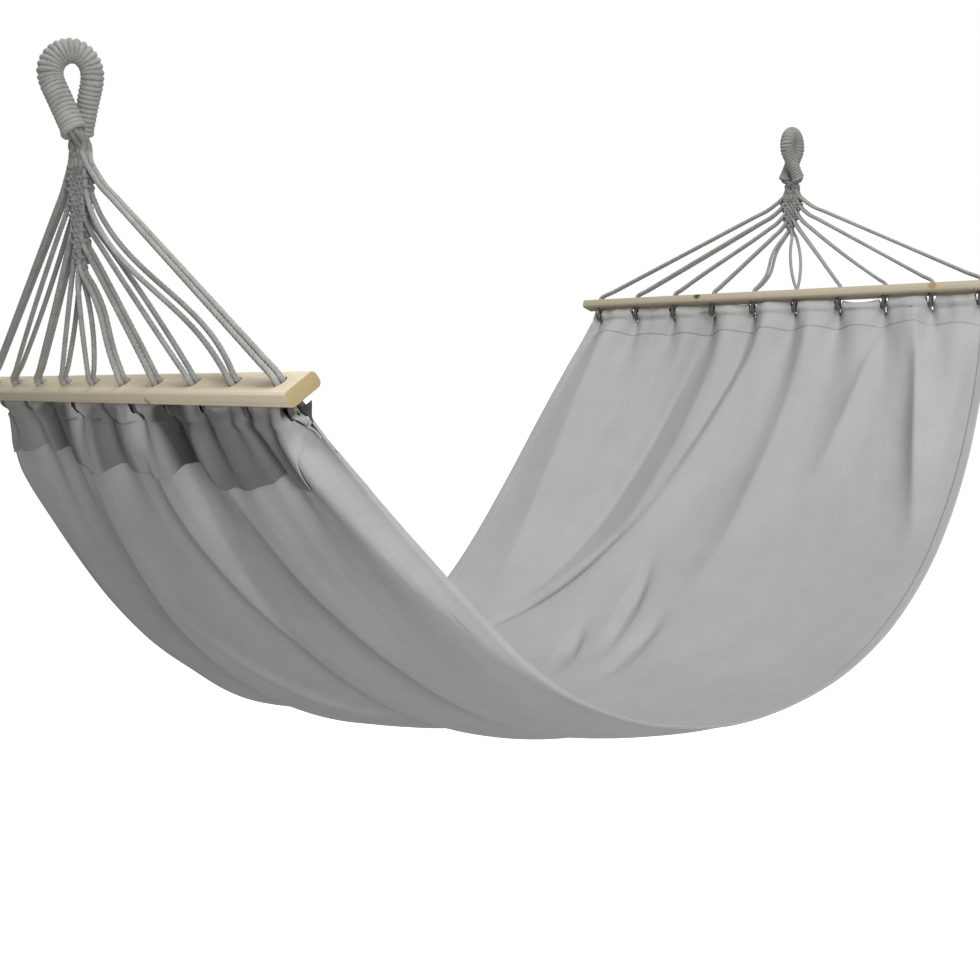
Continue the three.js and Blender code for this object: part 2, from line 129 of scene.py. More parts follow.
def addNode(tree, kind, settings=None, sockets=None, vector=None):
    node = tree.nodes.new(kind)
    for key, value in (settings or {}).items():
        setattr(node, key, value)
    setSockets(node, sockets or {})
    if vector is not None:
        tree.links.new(vector, node.inputs["Vector"])
    return node


def addNoise(tree, sockets, vector):
    return addNode(tree, "ShaderNodeTexNoise", None, sockets, vector).outputs["Fac"]


def addMapping(tree, sockets, vector):
    return addNode(tree, "ShaderNodeMapping", None, sockets, vector).outputs["Vector"]


def addMath(tree, operation, *terms):
    # each term is a number or the socket of another node
    node = addNode(tree, "ShaderNodeMath", {"operation": operation})
    for k, term in enumerate(terms):
        if isinstance(term, float):
            node.inputs[k].default_value = term
        else:
            tree.links.new(term, node.inputs[k])
    return node.outputs[0]


def addRamp(tree, source, stops, shade=1.0):
    ramp = addNode(tree, "ShaderNodeValToRGB")
    for element, (place, colour) in zip(ramp.color_ramp.elements, stops):
        element.position = place
        element.color = (*(c * shade for c in colour), 1)
    tree.links.new(source, ramp.inputs["Fac"])
    return ramp.outputs["Color"]


def addRelief(tree, shader, height, sockets):
    bump = addNode(tree, "ShaderNodeBump", None, sockets)
    tree.links.new(height, bump.inputs["Height"])
    tree.links.new(bump.outputs["Normal"], shader.inputs["Normal"])


clothLook = {
    "tones": [(0.55, (0.335, 0.335, 0.328)), (1.0, (0.375, 0.375, 0.365))],
    "doubled": (0.14, 0.14, 0.14),  # painted shade: what is left of the colour where the hem is darkest, for doubled cloth that lets less light through and for folds turned from the light
    "clouds": {"Scale": 9.0, "Detail": 5.0, "Roughness": 0.6},
    "slubs": {"Scale": 1.0, "Detail": 3.0, "Roughness": 0.5},
    "slubStretch": ((260, 14, 1), (14, 260, 1)),
    "slubShare": 0.35,
    "weave": {"Scale": 45, "Distortion": 0.6},
    "relief": {"Strength": 0.5, "Distance": 0.00016},
    "surface": {
        "Roughness": 0.92, "Specular IOR Level": 0.15, "Sheen Weight": 0.12, "Sheen Roughness": 0.5,
    },
}


def clothMaterial(name, look, doubled=None):
    material, tree, shader = newMaterial(name)
    uv = addNode(tree, "ShaderNodeUVMap", {"uv_map": "UVMap"}).outputs["UV"]
    clouds = addNoise(tree, look["clouds"], uv)
    slubs = []
    for stretch in look["slubStretch"]:
        slubs.append(addNoise(tree, look["slubs"], addMapping(tree, {"Scale": stretch}, uv)))
    both = addMath(tree, "ADD", *slubs)
    blotch = addMath(tree, "MULTIPLY_ADD", both, look["slubShare"], clouds)
    tone = addRamp(tree, blotch, look["tones"])
    # painted shade: the colour is darkened where the named vertex colour layer says
    if doubled:
        painted = addNode(tree, "ShaderNodeVertexColor", {"layer_name": doubled})
        kept = addRamp(tree, painted.outputs["Color"], [(0.0, (1, 1, 1)), (1.0, look["doubled"])])
        product = addNode(tree, "ShaderNodeVectorMath", {"operation": "MULTIPLY"})
        tree.links.new(tone, product.inputs[0])
        tree.links.new(kept, product.inputs[1])
        tone = product.outputs["Vector"]
    tree.links.new(tone, shader.inputs["Base Color"])
    setSockets(shader, look["surface"])
    weave = []
    for direction in ("X", "Y"):
        wave = addNode(tree, "ShaderNodeTexWave", {"bands_direction": direction}, look["weave"], uv)
        weave.append(wave.outputs["Fac"])
    grain = addMath(tree, "ADD", addMath(tree, "MULTIPLY", *weave), both)
    addRelief(tree, shader, grain, look["relief"])
    return material


ropeLook = {
    "tones": [(0.32, (0.220, 0.220, 0.207)), (0.66, (0.345, 0.343, 0.325))],
    "fibres": {"Scale": 420.0, "Detail": 3.0, "Roughness": 0.6},
    "blotches": {"Scale": 60.0, "Detail": 3.0, "Roughness": 0.6},
    "relief": {"Strength": 0.6, "Distance": 0.00015},
    "surface": {"Roughness": 0.95, "Specular IOR Level": 0.1, "Sheen Weight": 0.25},
}


def ropeMaterial(name, look, shade=1.0):
    material, tree, shader = newMaterial(name)
    place = addNode(tree, "ShaderNodeTexCoord").outputs["Object"]
    fibres = addNoise(tree, look["fibres"], place)
    blotches = addNoise(tree, look["blotches"], place)
    mean = addMath(tree, "MULTIPLY", addMath(tree, "ADD", fibres, blotches), 0.5)
    tone = addRamp(tree, mean, look["tones"], shade)
    tree.links.new(tone, shader.inputs["Base Color"])
    setSockets(shader, look["surface"])
    addRelief(tree, shader, fibres, look["relief"])
    return material


woodFacts = {
    "heart": (0.31, 0.0, 0.12),  # the middle of the rings lies outside the lath
    "stretch": (1.0, 0.035, 1.0),
    "fibreStretch": (900, 22, 900),
    "wander": {"Scale": 26.0, "Detail": 3.0, "Roughness": 0.5},
    "rings": {"Distortion": 2.2, "Detail": 2.0, "Detail Scale": 1.4},
    "fibres": {"Scale": 1.0, "Detail": 2.0, "Roughness": 0.6},
    "ringShare": 0.5, "fibreShare": 0.25, "knotCore": 0.45,
    "relief": {"Strength": 0.35, "Distance": 0.0003},
    "surface": {"Roughness": 0.62, "Specular IOR Level": 0.3},
}
woodLook = {
    "tones": [(0.45, (0.525, 0.436, 0.300)), (0.85, (0.650, 0.572, 0.430))],
    "ringScale": 95.0,
}
endGrainLook = {
    "tones": [(0.45, (0.300, 0.228, 0.107)), (0.85, (0.348, 0.276, 0.141))],
    "ringScale": 160.0,
}


def woodMaterial(name, look, shade, barFrame, knots):
    facts = woodFacts
    material, tree, shader = newMaterial(name)
    place = addNode(tree, "ShaderNodeTexCoord").outputs["Object"]
    back = barFrame.inverted()
    turn = {"Location": back.to_translation(), "Rotation": back.to_euler("XYZ")}
    turned = addMapping(tree, turn, place)
    stretched = addMapping(tree, {"Location": facts["heart"], "Scale": facts["stretch"]}, turned)
    wander = addNoise(tree, facts["wander"], stretched)
    ringKind = {"wave_type": "RINGS", "rings_direction": "Y"}
    ringSockets = {"Scale": look["ringScale"], **facts["rings"]}
    rings = addNode(tree, "ShaderNodeTexWave", ringKind, ringSockets, stretched)
    fibres = addNoise(tree, facts["fibres"], addMapping(tree, {"Scale": facts["fibreStretch"]}, turned))
    figure = addMath(tree, "MULTIPLY_ADD", rings.outputs["Fac"], facts["ringShare"], wander)
    grain = addMath(tree, "MULTIPLY_ADD", fibres, facts["fibreShare"], figure)
    colour = addRamp(tree, grain, look["tones"], shade)
    for knot in knots:
        away = addNode(tree, "ShaderNodeVectorMath", {"operation": "DISTANCE"})
        away.inputs[1].default_value = knot["place"]
        tree.links.new(turned, away.inputs[0])
        reach = {"From Min": knot["radius"], "From Max": knot["radius"] * facts["knotCore"]}
        near = addNode(tree, "ShaderNodeMapRange", {"interpolation_type": "SMOOTHSTEP"}, reach)
        tree.links.new(away.outputs["Value"], near.inputs["Value"])
        blend = addNode(tree, "ShaderNodeMix", {"data_type": "RGBA"})
        plain, knotted = [socket for socket in blend.inputs if socket.type == "RGBA"]
        knotted.default_value = (*knot["colour"], 1)
        tree.links.new(colour, plain)
        tree.links.new(near.outputs["Result"], blend.inputs["Factor"])
        colour = [socket for socket in blend.outputs if socket.type == "RGBA"][0]
    tree.links.new(colour, shader.inputs["Base Color"])
    setSockets(shader, facts["surface"])
    addRelief(tree, shader, grain, facts["relief"])
    return material


clothCotton = clothMaterial("clothCotton", clothLook)
# the hem's cotton carries painted shade in its vertex colours
hemCotton = clothMaterial("hemCotton", clothLook, "doubled")
cordCotton = ropeMaterial("cordCotton", ropeLook)
whipCotton = ropeMaterial("whipCotton", ropeLook, shade=0.90)
neckCotton = ropeMaterial("neckCotton", ropeLook, shade=0.72)
coreCotton = ropeMaterial("coreCotton", ropeLook, shade=0.55)
# painted shade: a much darker copy of the cord cotton for the cord loops inside the hem, which lie in
# shade
loopPaintedShade = ropeMaterial("loopPaintedShade", ropeLook, shade=0.30)

# Tools shared by the pieces


def pieceFromMesh(name, mesh):
    piece = bpy.data.objects.new(name, mesh)
    scene.collection.objects.link(piece)
    return piece


def meshFromBmesh(name, bm):
    mesh = bpy.data.meshes.new(name)
    bm.to_mesh(mesh)
    bm.free()
    return mesh


def pieceFromBmesh(name, bm):
    return pieceFromMesh(name, meshFromBmesh(name, bm))


def dress(piece, material, bodyName, slotName, *replaced):
    piece.data.materials.append(material)
    piece.data.polygons.foreach_set("use_smooth", [True] * len(piece.data.polygons))
    if bodyName:
        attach(piece, bodyName)
    if replaced:
        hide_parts(*replaced)


def bendThrough(a, b, c, d, share):
    # a centripetal curve from b to c
    tb = math.sqrt((b - a).length) + 1e-9
    tc = tb + math.sqrt((c - b).length) + 1e-9
    td = tc + math.sqrt((d - c).length) + 1e-9
    t = mix(tb, tc, share)
    ab = a.lerp(b, t / tb)
    bc = b.lerp(c, (t - tb) / (tc - tb))
    cd = c.lerp(d, (t - tc) / (td - tc))
    abc = ab.lerp(bc, t / tc)
    bcd = bc.lerp(cd, (t - tb) / (td - tb))
    return abc.lerp(bcd, (t - tb) / (tc - tb))


def evenRoute(points, step):
    ends = [points[0] * 2 - points[1], *points, points[-1] * 2 - points[-2]]
    dense = []
    for i in range(1, len(ends) - 2):
        bays = max(3, math.ceil((ends[i + 1] - ends[i]).length / (step * 0.5)))
        for k in range(bays):
            dense.append(bendThrough(*ends[i - 1:i + 3], k / bays))
    dense.append(points[-1].copy())
    walked = [0.0]
    for p, q in zip(dense, dense[1:]):
        walked.append(walked[-1] + (q - p).length)
    count = max(2, round(walked[-1] / step))
    route = []
    j = 0
    for k in range(count + 1):
        goal = walked[-1] * k / count
        while j < len(walked) - 2 and walked[j + 1] < goal:
            j += 1
        share = (goal - walked[j]) / max(walked[j + 1] - walked[j], 1e-12)
        route.append(dense[j].lerp(dense[j + 1], share))
    return route


def ropeProfile(name, lobes, groove, sides, roundness=0.7):
    curve = bpy.data.curves.new(name, "CURVE")
    curve.dimensions = "2D"
    spline = curve.splines.new("POLY")
    spline.points.add(sides - 1)
    for k in range(sides):
        angle = 2 * math.pi * k / sides
        radius = 1 - groove * (1 - abs(math.cos(angle * lobes / 2)) ** roundness)
        spline.points[k].co = (math.cos(angle) * radius, math.sin(angle) * radius, 0, 1)
    spline.use_cyclic_u = True
    profile = bpy.data.objects.new(name, curve)
    scene.collection.objects.link(profile)
    return profile


def ropeMesh(name, route, radii, layLength, profile):
    curve = bpy.data.curves.new(name, "CURVE")
    curve.dimensions = "3D"
    curve.twist_mode = "MINIMUM"
    curve.bevel_mode = "OBJECT"
    curve.bevel_object = profile
    curve.use_fill_caps = True
    spline = curve.splines.new("POLY")
    spline.points.add(len(route) - 1)
    walked = 0.0
    for k, place in enumerate(route):
        if k:
            walked += (place - route[k - 1]).length
        spline.points[k].co = (*place, 1)
        spline.points[k].radius = radii[k] if isinstance(radii, list) else radii
        spline.points[k].tilt = 2 * math.pi * walked / layLength if layLength else 0
    drawn = bpy.data.objects.new(name, curve)
    scene.collection.objects.link(drawn)
    graph = bpy.context.evaluated_depsgraph_get()
    mesh = bpy.data.meshes.new_from_object(drawn.evaluated_get(graph))
    bpy.data.objects.remove(drawn)
    bpy.data.curves.remove(curve)
    bm = bmesh.new()
    bm.from_mesh(mesh)
    bmesh.ops.remove_doubles(bm, verts=bm.verts, dist=1e-6)
    bmesh.ops.recalc_face_normals(bm, faces=bm.faces)
    bm.to_mesh(mesh)
    bm.free()
    return mesh


def joinedPiece(name, meshes):
    bm = bmesh.new()
    for mesh in meshes:
        bm.from_mesh(mesh)
        bpy.data.meshes.remove(mesh)
    return pieceFromBmesh(name, bm)


twisted = ropeProfile("twisted", lobes=3, groove=0.15, sides=15)
plainRound = ropeProfile("plainRound", lobes=2, groove=0.0, sides=12)

# Doubled cords: from the neck through the clew, down through a hole, round the hem rope and back
cordFacts = {
    "radius": 0.003, "strandOffset": 0.0032, "layLength": 0.019, "step": 0.0021,
    "loopRadius": 0.0065, "loopBays": 8,
    "entryRise": 0.006, "mouthTop": 0.006, "exitDrop": 0.001, "cordRise": 0.003,
    "seatGap": 0.0003, "seatRise": 0.010,
    "shoulderHalfWidth": 0.016, "shoulderDrop": 0.014, "tipHalfWidth": 0.005,
    "clewTop": 0.004,
    "warpTop": 0.003, "warpBays": 3,
    "neckDepth": 0.0046, "oddStep": 0.0020, "clewDepth": 0.0027,
    "neckSpacing": 0.0021, "clewSpacing": 0.0040,
    "spanBays": 13, "swayShare": 0.8, "archPower": 0.8,
    "sideways": Vector((0.675, -0.737, 0)),  # across the picture
    "slack": {"head": {1: 0.018, 3: 0.012}, "foot": {2: 0.02, 5: 0.03}},
    "splay": {
        "head": {1: 0.003, 2: 0.002, 5: 0.003, 6: 0.002, 8: 0.003},
        "foot": {4: 0.008, 5: 0.002, 8: 0.002},
    },
    "bow": {"head": {1: -0.009, 4: 0.002}, "foot": {5: -0.006, 7: 0.002}},
}


def cordSeat(end, side, rank, strand, target):
    facts = cordFacts
    level = hang["neckLevel"] - facts["shoulderDrop"] - facts["cordRise"]
    shoulder = Vector((0, side * facts["shoulderHalfWidth"], level))
    tip = Vector((0, side * facts["tipHalfWidth"], hang["neckLevel"] - end["tipDrop"]))
    seat = tip.lerp(shoulder, rank / (hang["holes"] / 2 - 1))
    edge = (shoulder - tip).normalized()
    outward = Vector((0, side * edge.z, -side * edge.y))
    heading = target - seat
    heading.x = 0
    heading.normalize()
    lean = heading.dot(outward)
    reach = (facts["radius"] * math.sqrt(1 - lean * lean) + facts["seatGap"]) / lean
    seat += heading * reach
    seat.x = end["x"] + strand * facts["strandOffset"]
    return seat


def warpPlace(end, side, rank, strand, z):
    # where a strand runs inside the clew at a given height
    facts = cordFacts
    top = hang["neckLevel"] + facts["clewTop"]
    shoulder = hang["neckLevel"] - facts["shoulderDrop"]
    share = min(1, max(0, (top - z) / (top - shoulder)))
    spacing = mix(facts["neckSpacing"], facts["clewSpacing"], share)
    depth = mix(facts["neckDepth"] - facts["oddStep"] * (rank % 2), facts["clewDepth"], share)
    sway = end["lean"] * min(1, max(0, (hang["neckLevel"] - z) / end["tipDrop"]))
    return Vector((end["x"] + strand * depth, side * (rank + 0.5) * spacing + sway, z))


def strandRoute(end, i, strand):
    facts = cordFacts
    across = holeAcross(i)
    side = 1 if across > 0 else -1
    rank = int(abs(i - (hang["holes"] - 1) / 2) - 0.5)
    level = hang["barThickness"] / 2 + facts["entryRise"]
    entry = end["frame"] @ Vector((strand * facts["strandOffset"], across, level))
    seat = cordSeat(end, side, rank, strand, entry)
    top = hang["neckLevel"] + facts["warpTop"]
    low = seat.z + facts["seatRise"]
    points = []
    for k in range(facts["warpBays"] + 1):
        points.append(warpPlace(end, side, rank, strand, mix(top, low, k / facts["warpBays"])))
    slack = (seat - entry).length * facts["slack"][end["name"]].get(i, 0)
    splay = facts["splay"][end["name"]].get(i, 0) * strand
    bow = facts["bow"][end["name"]].get(i, 0)
    sway = Vector((0, end["lean"], 0)) * (hang["neckLevel"] - seat.z) / end["tipDrop"]
    for k in range(1, facts["spanBays"] + 1):
        share = k / facts["spanBays"]
        point = seat.lerp(entry, share) + sway * (1 - share) ** 2 * facts["swayShare"]
        arch = math.sin(math.pi * share)
        point.z -= slack * arch
        bent = splay * arch ** facts["archPower"] + bow * math.sin(2 * math.pi * share)
        points.append(point + facts["sideways"] * bent)
    return points


def cordRoute(end, i):
    facts = cordFacts
    across = holeAcross(i)
    below = -hang["barThickness"] / 2 - facts["exitDrop"]
    down = strandRoute(end, i, -1)
    up = strandRoute(end, i, 1)[::-1]
    loop = []
    for k in range(facts["loopBays"] + 1):
        angle = math.pi * (1 + k / facts["loopBays"])
        x = math.cos(angle) * facts["loopRadius"]
        z = hang["ropeLevel"] + math.sin(angle) * facts["loopRadius"]
        loop.append(end["frame"] @ Vector((x, across, z)))
    mouth = []
    for side in (-1, 1):
        for z in (facts["mouthTop"], below):
            mouth.append(end["frame"] @ Vector((side * facts["strandOffset"], across, z)))
    points = [*down, mouth[0], mouth[1], *loop, mouth[3], mouth[2], *up]
    return evenRoute(points, facts["step"])


for end in (head, foot):
    for i in range(hang["holes"]):
        name = f"{end['name']}Cord{i + 1}"
        route = cordRoute(end, i)
        mesh = ropeMesh(name, route, cordFacts["radius"], cordFacts["layLength"], twisted)
        cord = pieceFromMesh(name, mesh)
        dress(cord, cordCotton, "sling", "cord", f"{end['name']}_cord_{i + 1}")
        # painted shade: the cord faces below the bar, in the hem, get the dark copy
        cord.data.materials.append(loopPaintedShade)
        back = end["frame"].inverted()
        for face in cord.data.polygons:
            if (back @ face.center).z < -hang["barThickness"] / 2:
                face.material_index = 1
print("cords made")

# Eyes: whipping wound round the rope bundle, and the strands that come out below it
eyeFacts = {
    "outer": (0.0116, 0.0136),  # at the start and at the end of the winding
    "growth": (0.15, 0.5),  # where the winding starts to widen, and over how much of it
    "half": 0.0234, "top": 0.0133, "taper": 19,
    "archBays": 8, "legBays": 4,
    "legEndOffset": 0.014, "legEndInset": 0.004, "legEndDrop": 0.070,
    "step": 0.0005,
    "coreRadius": 0.0092, "coreStride": 6, "coreLay": 0.05,
    "turns": 42, "steps": 22,
    "roughDepth": 0.003, "closeness": 0.54,
    "cordRadius": (0.0013, 0.0036),
    "wobble": 0.10, "wobblePace": 0.045,
    "lipTurns": 1.3, "lipSwell": 0.0008,
    "collar": 0.0014,
    "lopsided": {"head": 0.8, "foot": 1.0},
}


def eyePoint(end, along, across, z):
    turn = math.radians(end["eyeTurn"])
    if along > 0:
        along *= eyeFacts["lopsided"][end["name"]]
    a = Vector((math.cos(turn), math.sin(turn), 0)) * end["inward"]
    e = Vector((-math.sin(turn), math.cos(turn), 0)) * end["inward"]
    return Vector((end["x"], 0, z)) + a * along + e * across


def eyeRoute(end):
    facts = eyeFacts
    middle = facts["top"] - facts["half"]
    taper = math.radians(facts["taper"])
    topA = facts["half"] * math.cos(taper)
    topZ = middle - facts["half"] * math.sin(taper)

    def leg(side):
        steps = []
        for k in range(1, facts["legBays"] + 1):
            share = k / facts["legBays"]
            along = side * mix(topA, facts["legEndInset"], share)
            across = side * facts["legEndOffset"] * share
            steps.append(eyePoint(end, along, across, mix(topZ, -facts["legEndDrop"], share)))
        return steps

    points = leg(1)[::-1]
    for k in range(facts["archBays"] + 1):
        angle = mix(-taper, math.pi + taper, k / facts["archBays"])
        z = middle + facts["half"] * math.sin(angle)
        points.append(eyePoint(end, facts["half"] * math.cos(angle), 0, z))
    points += leg(-1)
    return evenRoute(points, facts["step"])


def carriedFrames(route):
    normals = []
    normal = (route[1] - route[0]).normalized().orthogonal().normalized()
    for k in range(len(route)):
        ahead = (route[min(k + 1, len(route) - 1)] - route[max(k - 1, 0)]).normalized()
        normal = (normal - ahead * normal.dot(ahead)).normalized()
        normals.append((normal.copy(), ahead.cross(normal)))
    return normals


def whippingMesh(end):
    facts = eyeFacts
    route = eyeRoute(end)
    frames = carriedFrames(route)
    total = facts["turns"] * facts["steps"]
    late, span = facts["growth"]

    def outer(k):
        return mix(*facts["outer"], min(1, max(0, (k / total - late) / span)))

    def centre(k, radius):
        place = (len(route) - 1) * k / total
        j = round(place)
        angle = 2 * math.pi * k / facts["steps"]
        normal, side = frames[j]
        return route[j] + (normal * math.cos(angle) + side * math.sin(angle)) * radius

    rough = [centre(k, outer(k) - facts["roughDepth"]) for k in range(total + 1)]
    thin, thick = facts["cordRadius"]
    radii = []
    for k in range(total + 1):
        gaps = []
        if k >= facts["steps"]:
            gaps.append((rough[k] - rough[k - facts["steps"]]).length)
        if k + facts["steps"] <= total:
            gaps.append((rough[k] - rough[k + facts["steps"]]).length)
        uneven = noise.noise(Vector((k * facts["wobblePace"], end["x"] * 3, 0)))
        wide = facts["closeness"] * sum(gaps) / len(gaps) * (1 + facts["wobble"] * uneven)
        radii.append(min(max(wide, thin), thick))
    winding = []
    for k in range(total + 1):
        lip = max(0, 1 - min(k, total - k) / (facts["steps"] * facts["lipTurns"]))
        radii[k] += facts["lipSwell"] * lip
        winding.append(centre(k, outer(k) - radii[k] + facts["collar"] * lip))
    return ropeMesh("whipping", winding, radii, 0, plainRound)


def coreMesh(end):
    facts = eyeFacts
    route = eyeRoute(end)[::facts["coreStride"]]
    return ropeMesh("core", route, facts["coreRadius"], facts["coreLay"], plainRound)


neckFacts = {
    "strands": 6,
    "radius": 0.0033, "layLength": 0.017, "step": 0.002,
    "start": 0.25,
    "bundle": (0.0052, 0.0058),  # radius of the ring of strands above a leg's end, and at it
    "above": (0.012, 0.009, -0.052),
    "gather": (0.0062, 0.0052),
    "aside": 0.0062, "level": -0.081, "front": 0.0042,
    "spread": (0.002, 0.011),
    # share of the front, share of the spread, aside, level
    "weave": [(1, 0.92, 0, -0.093), (-0.9, 0.7, -0.002, -0.106), (0.6, 0.6, 0, -0.118)],
}


def neckMeshes(end):
    facts = neckFacts
    x = end["x"]
    inset, offset, drop = (eyeFacts[key] for key in ("legEndInset", "legEndOffset", "legEndDrop"))
    along, across, height = facts["above"]
    upper, lower = facts["bundle"]
    wide, deep = facts["gather"]
    meshes = []
    for side in (-1, 1):
        legEnd = eyePoint(end, side * inset, side * offset, -drop)
        above = legEnd.lerp(eyePoint(end, side * along, side * across, height), 0.5)
        for k in range(facts["strands"]):
            angle = 2 * math.pi * (k + facts["start"]) / facts["strands"]
            ring = Vector((math.cos(angle), math.sin(angle), 0))
            spread = mix(*facts["spread"], k / (facts["strands"] - 1)) * side
            front = facts["front"] if k % 2 else -facts["front"]
            gathered = (x + ring.x * wide, side * facts["aside"] + ring.y * deep, facts["level"])
            points = [above + ring * upper, legEnd + ring * lower, Vector(gathered)]
            for share, reach, aside, z in facts["weave"]:
                points.append(Vector((x + front * share, spread * reach + side * aside, z)))
            route = evenRoute(points, facts["step"])
            meshes.append(ropeMesh("strand", route, facts["radius"], facts["layLength"], twisted))
    return meshes


for end in (head, foot):
    name = end["name"]
    whipping = pieceFromMesh(f"{name}Whipping", whippingMesh(end))
    dress(whipping, whipCotton, "eyes", "whipping", f"{name}_eye_whipping")
    core = pieceFromMesh(f"{name}EyeCore", coreMesh(end))
    dress(core, coreCotton, "eyes", "cord", f"{name}_eye_core")
    neck = joinedPiece(f"{name}Neck", neckMeshes(end))
    dress(neck, neckCotton, None, "cord")
    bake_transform(neck)
print("eyes made")

# Clews: one cord woven to and fro through the strands, round fewer of them the lower it gets
clewFacts = {
    "topDrop": 0.012, "tipRise": 0.004, "rowHeight": 0.0054,
    "radius": 0.0024, "layLength": 0.015, "step": 0.0018,
    "depth": 0.0056,
    "turnDepth": 0.2,  # share of the depth where the cord turns back
    "turnOut": 0.0016,
    "uneven": 0.0008, "unevenPace": 2.1,
}


def clewMesh(end):
    facts = clewFacts
    top = hang["neckLevel"] - facts["topDrop"]
    bottom = hang["neckLevel"] - end["tipDrop"] + facts["tipRise"]
    rows = round((top - bottom) / facts["rowHeight"])
    ranks = hang["holes"] // 2
    points = []
    for m in range(rows + 1):
        z = mix(top, bottom, m / rows)
        kept = min(ranks, 1 + math.ceil((1 - m / rows) * (ranks - 1)))
        wall = []
        for k in range(-kept, kept + 1):
            side = 1 if k >= 0 else -1
            turning = abs(k) == kept
            place = warpPlace(end, side, abs(k) - 0.5, 0, z)
            over = 1 if (k + m) % 2 else -1
            place.x += facts["depth"] * over * (facts["turnDepth"] if turning else 1)
            place.y += side * (facts["turnOut"] if turning else 0)
            place.z += facts["uneven"] * math.sin(k * facts["unevenPace"] + m)
            wall.append(place)
        points += wall if m % 2 else wall[::-1]
    route = evenRoute(points, facts["step"])
    return ropeMesh("weft", route, facts["radius"], facts["layLength"], twisted)


for end in (head, foot):
    clew = pieceFromMesh(f"{end['name']}Clew", clewMesh(end))
    dress(clew, neckCotton, "sling", "cord", f"{end['name']}_clew")
print("clews made")

# Spreader bars: pine laths with rounded edges, drilled for the cords
barFacts = {
    "length": 0.800, "width": 0.038,
    "edge": 0.0052, "edgeSegments": 6, "rim": 0.0009, "rimSegments": 2,
    "hole": 0.0070, "holeSides": 40, "drillLength": 0.04,
    "mouthDepth": 0.0024, "mouthWidening": 1.20,
    "endSkin": 0.0004,  # how deep the end grain is shown
    "sharpFrom": 40,
    # the foot bar is the same pine as the head bar, painted darker: painted shade
    "shade": {"head": 1.0, "foot": 0.64},
    "knots": {
        "head": [
            {"place": (-0.019, -0.118, -0.003), "radius": 0.007, "colour": (0.42, 0.30, 0.17)},
        ],
        "foot": [
            {"place": (-0.019, 0.150, 0.004), "radius": 0.0085, "colour": (0.08, 0.055, 0.03)},
            {"place": (-0.019, -0.292, 0.002), "radius": 0.0095, "colour": (0.31, 0.205, 0.10)},
        ],
    },
}


def roundEdges(bm, edges, offset, segments):
    bmesh.ops.bevel(
        bm, geom=edges, offset=offset, offset_type="OFFSET", segments=segments,
        profile=0.5, affect="EDGES", material=-1,
    )


def addDrill(bm, place, depth, low, high):
    bmesh.ops.create_cone(
        bm, cap_ends=True, segments=barFacts["holeSides"], depth=depth,
        radius1=low, radius2=high, matrix=Matrix.Translation(place),
    )


def barMesh(end):
    facts = barFacts
    thickness = hang["barThickness"]
    bm = bmesh.new()
    bmesh.ops.create_cube(bm, size=1)
    bmesh.ops.scale(bm, vec=(facts["width"], facts["length"], thickness), verts=bm.verts)
    longEdges = [e for e in bm.edges if abs((e.verts[0].co - e.verts[1].co).y) > facts["length"] / 2]
    roundEdges(bm, longEdges, facts["edge"], facts["edgeSegments"])
    rims = [e for e in bm.edges if abs(e.verts[0].co.y - e.verts[1].co.y) < 1e-6]
    roundEdges(bm, rims, facts["rim"], facts["rimSegments"])
    lath = pieceFromBmesh("lath", bm)
    bm = bmesh.new()
    hole, wide = facts["hole"], facts["hole"] * facts["mouthWidening"]
    for i in range(hang["holes"]):
        across = holeAcross(i)
        addDrill(bm, (0, across, 0), facts["drillLength"], hole, hole)
        addDrill(bm, (0, across, -thickness / 2), facts["mouthDepth"], wide, hole)
        addDrill(bm, (0, across, thickness / 2), facts["mouthDepth"], hole, wide)
    drills = pieceFromBmesh("drills", bm)
    cut = lath.modifiers.new("cut", "BOOLEAN")
    cut.operation = "DIFFERENCE"
    cut.solver = "EXACT"
    cut.use_self = True
    cut.object = drills
    graph = bpy.context.evaluated_depsgraph_get()
    mesh = bpy.data.meshes.new_from_object(lath.evaluated_get(graph))
    bpy.data.objects.remove(lath)
    bpy.data.objects.remove(drills)
    mesh.transform(end["frame"])
    return mesh


for end in (head, foot):
    name = end["name"]
    # painted shade on the foot bar, from its shade
    shade = barFacts["shade"][name]
    pine = woodMaterial(f"{name}Pine", woodLook, shade, end["frame"], barFacts["knots"][name])
    cutPine = woodMaterial(f"{name}EndGrain", endGrainLook, shade, end["frame"], [])
    bar = pieceFromMesh(f"{name}Bar", barMesh(end))
    dress(bar, pine, f"{name}_bar", "bar_wood", f"{name}_spreader_bar")
    bar.data.set_sharp_from_angle(angle=math.radians(barFacts["sharpFrom"]))
    bar.data.materials.append(cutPine)
    back = end["frame"].inverted()
    for face in bar.data.polygons:
        if abs((back @ face.center).y) > barFacts["length"] / 2 - barFacts["endSkin"]:
            face.material_index = 1
print("bars made")

# Bed cloth: lengthwise lines that hang from hem to hem, thrown into long folds
bedFacts = {
    "halfAtBar": 0.383, "halfAtMiddle": 0.4705,
    "sag": (0.778, 0.885, 0.907),
    "lowest": 0.684,
    "slopes": {"head": (65, 76), "foot": (56, 72)},
    "reach": {"head": (0.170, 0.431), "foot": (0.402, 0.282)},
    "widening": 2.8,
    "probe": 0.004,
    "flatHalf": (0.47, 0.94),
    "columns": 200, "rows": 232,
    "thickness": 0.0012,
}
